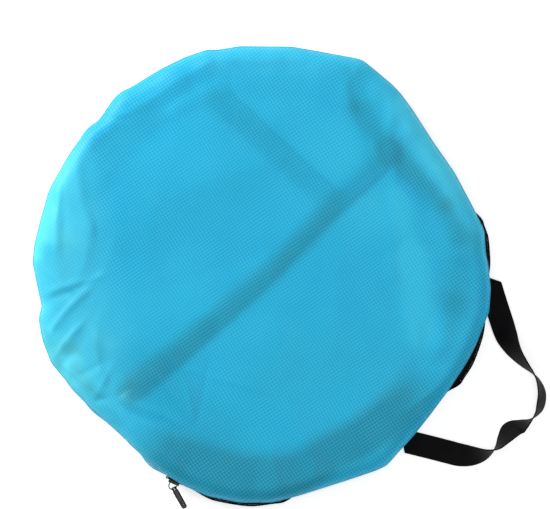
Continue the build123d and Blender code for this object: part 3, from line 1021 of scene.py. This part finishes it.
def tent_cloth():
    for name, low, high, plies, material, slot, node in (
        ("folded_floor", 2.8, 8.1, 5, floor_cloth, "floor_cloth", "floor_panel_folded"),
        ("folded_rear_wall", 8.6, 13.9, 5, wall_cloth, "tent_cloth", "rear_wall_folded"),
        ("folded_mesh_window", 23.9, 27.2, 4, mesh_cloth, "mesh_cloth", "mesh_window_folded"),
        ("folded_canopy", 27.7, 30.9, 4, wall_cloth, "tent_cloth", "canopy_front_folded"),
    ):
        folded_pile(name, low * MM, high * MM, plies, material, slot, node)
    canopy_cover()


def side_walls():
    """Side walls folded as a ring round the peg pouch."""
    low, high, plies = 14.4 * MM, 23.4 * MM, 7
    gap = (high - low) / plies
    rim, half_length, half_width = 195.5 * MM, 98.5 * MM, 28.5 * MM

    def pocket(angle):
        """The radius of the pouch's space, which is a rectangle."""
        c, s = abs(cos(radians(angle))), abs(sin(radians(angle)))
        return min(half_length / max(c, 1e-6), half_width / max(s, 1e-6))

    def place(u, v):
        angle = 360 * u
        k = min(int(v * plies), plies - 1)
        across = v * plies - k
        out = 1 - across if k % 2 else across
        x, y = polar(pocket(angle) + (rim - pocket(angle)) * out, angle)
        return x, y, low + gap * (k + 0.25 + 0.5 * across) + ripple(x, y, 30, k * 1.9) * 0.2 * gap

    walls = surface("folded_side_walls", place, lambda u, v: (u, v), 120, plies * 8, (True, False))
    dress(tidy(walls), wall_cloth, "bag", "tent_cloth", "side_wall_folded")


def peg_pouch():
    middle = 18.9 * MM
    bpy.ops.object.select_all(action="DESELECT")
    bpy.ops.mesh.primitive_cube_add(size=1, location=(0, 0, middle), scale=(0.188, 0.048, 0.0082))
    pouch = bpy.context.active_object
    pouch.name = "pouch_cloth"
    bpy.ops.object.transform_apply(location=True, rotation=False, scale=True)
    bpy.ops.object.mode_set(mode="EDIT")
    bpy.ops.mesh.select_all(action="SELECT")
    bpy.ops.mesh.bevel(offset=3.4 * MM, segments=4, affect="EDGES")
    bpy.ops.mesh.select_all(action="SELECT")
    bpy.ops.mesh.subdivide(number_cuts=6)
    bpy.ops.object.mode_set(mode="OBJECT")
    for point in pouch.data.vertices:
        x, y, z = point.co
        swell = ripple(x, y, 60, 9.1) * 0.35 * MM
        point.co.z += swell if z > middle else -swell * 0.5
    pouch.data.shade_smooth()
    dress(pouch, pouch_cloth, "bag", "pouch_cloth", "peg_pouch")


def retaining_band():
    """The elastic band that holds the pack folded, an endless loop round it."""
    low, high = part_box("retaining_band")[0].z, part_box("retaining_band")[1].z
    reach, corner, width = 230.3 * MM, 8.6 * MM, 17 * MM
    middle, half_height = (low + high) / 2, (high - low) / 2 - 0.4 * MM
    runs = [2 * (reach - corner), corner * pi / 2, 2 * (half_height - corner), corner * pi / 2] * 2
    total = sum(runs)

    def outline(s):
        """The band's middle line round the pack: distance along its direction, and height."""
        s = s % total
        straight, bend, side = runs[0], runs[1], runs[2]
        flip = 1
        if s >= total / 2:
            s -= total / 2
            flip = -1
        if s < straight:
            return flip * (s - straight / 2), flip * half_height
        s -= straight
        if s < bend:
            turn = s / corner
            rise = half_height - corner + corner * cos(turn)
            return flip * (straight / 2 + corner * sin(turn)), flip * rise
        s -= bend
        if s < side:
            return flip * reach, flip * (half_height - corner - s)
        s -= side
        turn = s / corner
        rise = corner - half_height - corner * sin(turn)
        return flip * (reach - corner + corner * cos(turn)), flip * rise

    def place(u, v):
        along_band, height = outline(total * v)
        across = (u - 0.5) * width
        wander = 1.5 * MM * ripple(along_band, 0, 12, 7.7) + band_drift(along_band)
        x = along_band * cos(radians(band_turn)) - (across + wander) * sin(radians(band_turn))
        y = along_band * sin(radians(band_turn)) + (across + wander) * cos(radians(band_turn))
        x, y = pressed(x, y)
        return x, y, middle + height

    def flat(u, v):
        return u * width, v * total

    band = surface("elastic_band", place, flat, 8, 420, (False, True))
    thicken(band, 0.9 * MM)
    dress(tidy(band), elastic_cloth, "bag", "elastic", "retaining_band")


def strips():
    """Two lengths of binding that lie on the folded canopy."""
    wide = [(-128, 146.5), (-80, 133), (-28, 117), (25, 102.5)]
    narrow = [(10, 196), (37, 190), (69, 170.5), (99, 158), (129, 150)]
    for name, route, width, node in (
        ("wide_strip", wide, 25, "binding_strip_wide"),
        ("narrow_strip", narrow, 13, "binding_strip_narrow"),
    ):
        xs, ys = zip(*route)

        def place(u, v, xs=xs, ys=ys, width=width):
            x, y = through(xs, v), through(ys, v)
            bx, by = through(xs, max(v - 0.01, 0)), through(ys, max(v - 0.01, 0))
            ax, ay = through(xs, min(v + 0.01, 1)), through(ys, min(v + 0.01, 1))
            run = atan2(ay - by, ax - bx) + pi / 2
            s = (u - 0.5) * width
            px, py = pressed((x + s * cos(run)) * MM, (y + s * sin(run)) * MM)
            return px, py, (31.85 + 0.1 * sin(9 * v)) * MM

        strip = surface(name, place, lambda u, v: (u, v), 6, 60)
        thicken(strip, 0.25 * MM)
        dress(tidy(strip), strip_cloth, "bag", "binding_cloth", node)


def hardware():
    """Finishes for the hard parts whose shapes are already right."""
    for node, material in (
        ("tent_pegs", peg_steel),
        ("slider_body", black_enamel),
        ("slider_bail", black_enamel),
        ("pull_tab", black_enamel),
        ("zip_end_stops", black_enamel),
    ):
        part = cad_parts[node]
        part.data.materials.clear()
        part.data.materials.append(material)


# ---------------------------------------------------------------- floor, light, camera
def stage():
    bpy.ops.object.select_all(action="DESELECT")
    bpy.ops.mesh.primitive_plane_add(size=40, location=(0, 0, -0.0002))
    floor = bpy.context.active_object
    floor.name = "floor"
    finish = Finish(
        "pale_floor", 0.9, Specular_IOR_Level=0.0, Emission_Color=(1, 1, 1, 1), Emission_Strength=0.55
    )
    shade = finish.mottle(finish.place(), 3.0)
    finish.set("Base Color", finish.mix(shade, (0.90, 0.90, 0.90), (0.93, 0.93, 0.93)))
    floor.data.materials.append(finish.material)
    world = bpy.data.worlds.new("studio")
    bpy.context.scene.world = world
    world.use_nodes = True
    backdrop = world.node_tree.nodes["Background"]
    backdrop.inputs["Color"].default_value = (1, 1, 1, 1)
    backdrop.inputs["Strength"].default_value = 0.34
    for name, place, size, power in (
        ("key_light", (-1.8, 0.35, 0.95), 0.9, 44),
        ("fill_light", (0.9, 0.2, 2.2), 2.2, 17),
    ):
        lamp = bpy.data.lights.new(name, "AREA")
        lamp.size, lamp.energy = size, power
        light = bpy.data.objects.new(name, lamp)
        light.location = place
        light.rotation_euler = (-Vector(place)).to_track_quat("-Z", "Y").to_euler()
        bpy.context.collection.objects.link(light)
    lens = bpy.data.cameras.new("overhead")
    lens.lens, lens.sensor_width = 160, 36
    camera = bpy.data.objects.new("overhead", lens)
    camera.location = (-0.0007, 0.024, 2.62)
    camera.rotation_euler = (0, 0, radians(26.5))
    bpy.context.collection.objects.link(camera)
    bpy.context.scene.camera = camera
    bpy.context.scene.view_settings.view_transform = "Standard"


# ---------------------------------------------------------------- everything
stage()
front_panel()
gusset()
back_panel()
zip_pieces()
bindings()
strap()
hoops()
ferrules()
tent_cloth()
side_walls()
peg_pouch()
retaining_band()
strips()
hardware()
